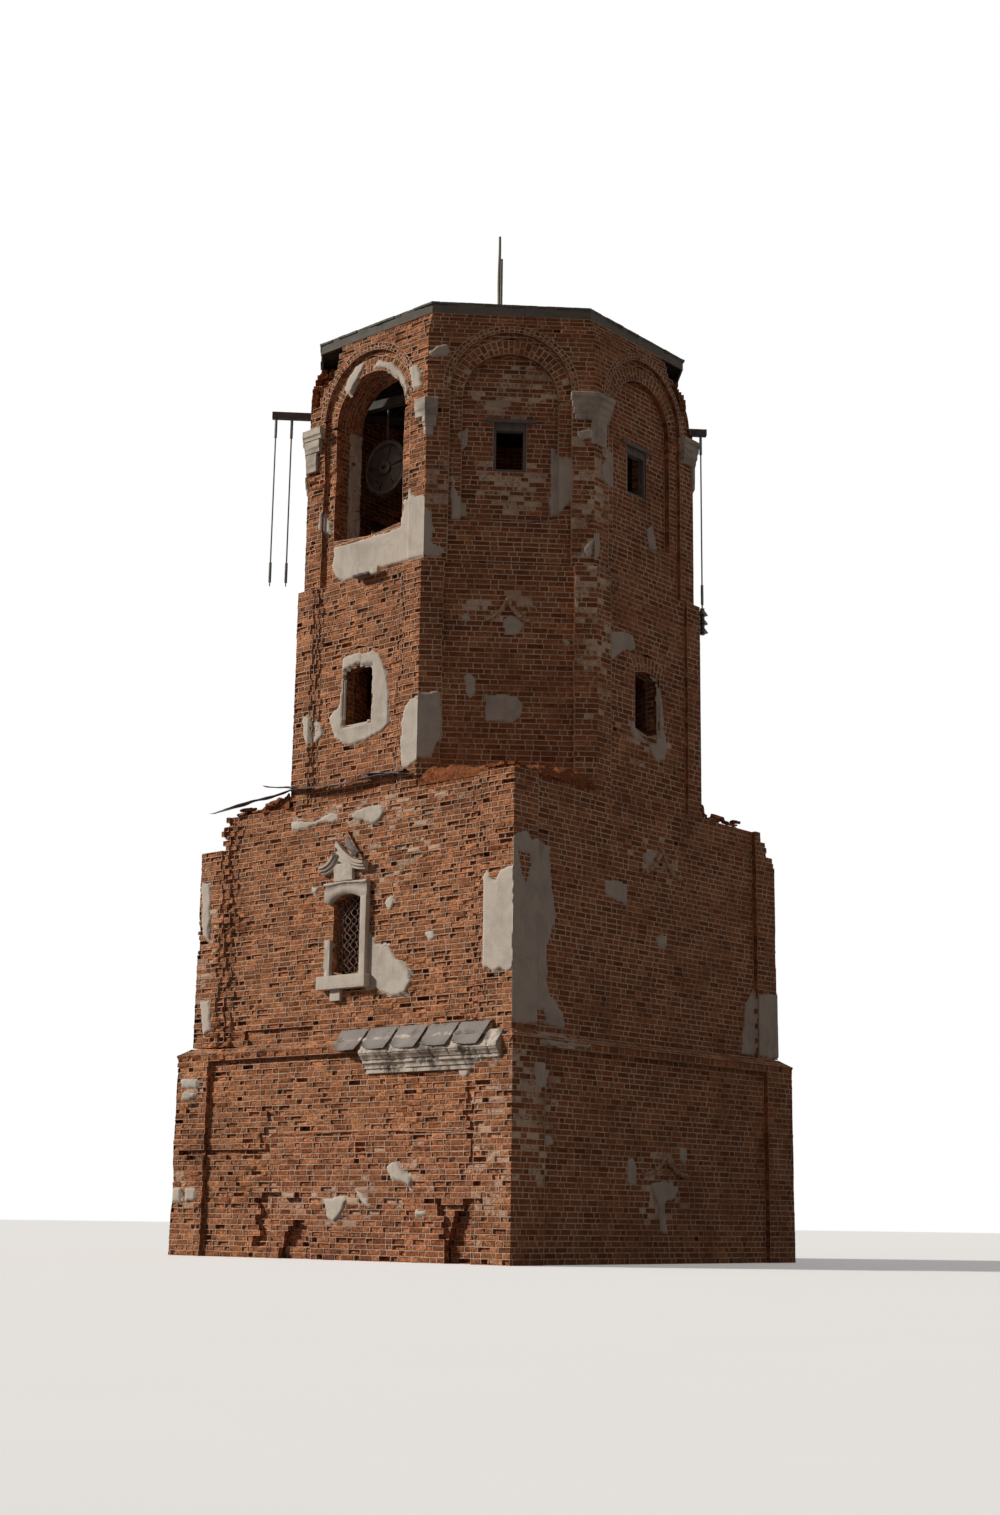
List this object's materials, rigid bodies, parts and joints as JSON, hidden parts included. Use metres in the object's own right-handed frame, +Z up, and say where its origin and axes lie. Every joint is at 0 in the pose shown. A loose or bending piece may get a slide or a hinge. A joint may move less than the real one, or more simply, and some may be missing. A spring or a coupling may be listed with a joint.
{
  "type": "bell tower",
  "caption": "Ruined brick bell tower: square storeys below, octagonal storeys above with round arches, stucco remains, board roof and mast.",
  "frame": {"origin": "centre of the base at ground level, on the tower's axis", "axes": "+Z up, +X to the right, the front faces -Y"},
  "size_m": [7.7, 7.85, 19.23],
  "materials": {
    "old_brick": "weathered red brick with lime joints",
    "infill_brick": "later red brick with pale mortar",
    "stucco": "lime stucco, partly whitewashed",
    "sheet_iron": "dull grey roofing sheet",
    "floor_slabs": "worn stone slabs",
    "floor_planks": "old grey planks",
    "window_timber": "bare weathered timber",
    "roof_boards": "bare weathered boards",
    "roof_timber": "bare weathered timber",
    "wheel_iron": "rusted and dusty",
    "dark_timber": "tarred timber",
    "rod_steel": "dark weathered steel",
    "insulator_glaze": "dark brown glaze"
  },
  "bodies": {
    "root": {"ground_front_wall": "old_brick", "ground_right_wall": "old_brick", "ground_back_wall": "old_brick", "ground_left_wall": "old_brick", "middle_front_wall": "old_brick", "middle_right_wall": "old_brick", "middle_back_wall": "old_brick", "middle_left_wall": "old_brick", "middle_squinches": "old_brick", "middle_corner_caps": "old_brick", "octagon_front_wall": "old_brick", "octagon_right_wall": "old_brick", "octagon_back_wall": "old_brick", "octagon_left_wall": "old_brick", "octagon_diagonal_walls": "old_brick", "bell_front_wall": "old_brick", "bell_right_wall": "old_brick", "bell_back_wall": "old_brick", "bell_left_wall": "old_brick", "bell_diagonal_walls": "old_brick", "ground_front_infill": "infill_brick", "bell_arch_infills": "infill_brick", "ground_cornice": "stucco", "middle_window_surrounds": "stucco", "middle_pediments": "stucco", "bell_capitals": "stucco", "ground_flashing": "sheet_iron", "ground_floor": "floor_slabs", "middle_floor": "floor_planks", "octagon_floor": "floor_planks", "bell_floor": "floor_planks", "bell_window_frames": "window_timber", "roof_deck": "roof_boards", "roof_fascia": "roof_boards", "roof_frame": "roof_timber", "mast": "roof_timber", "cross_beam": "roof_timber", "hanging_wheel": "wheel_iron", "outrigger_beam": "dark_timber", "hanger_rods": "rod_steel", "insulator_stack": "insulator_glaze"}
  },
  "joints": []
}
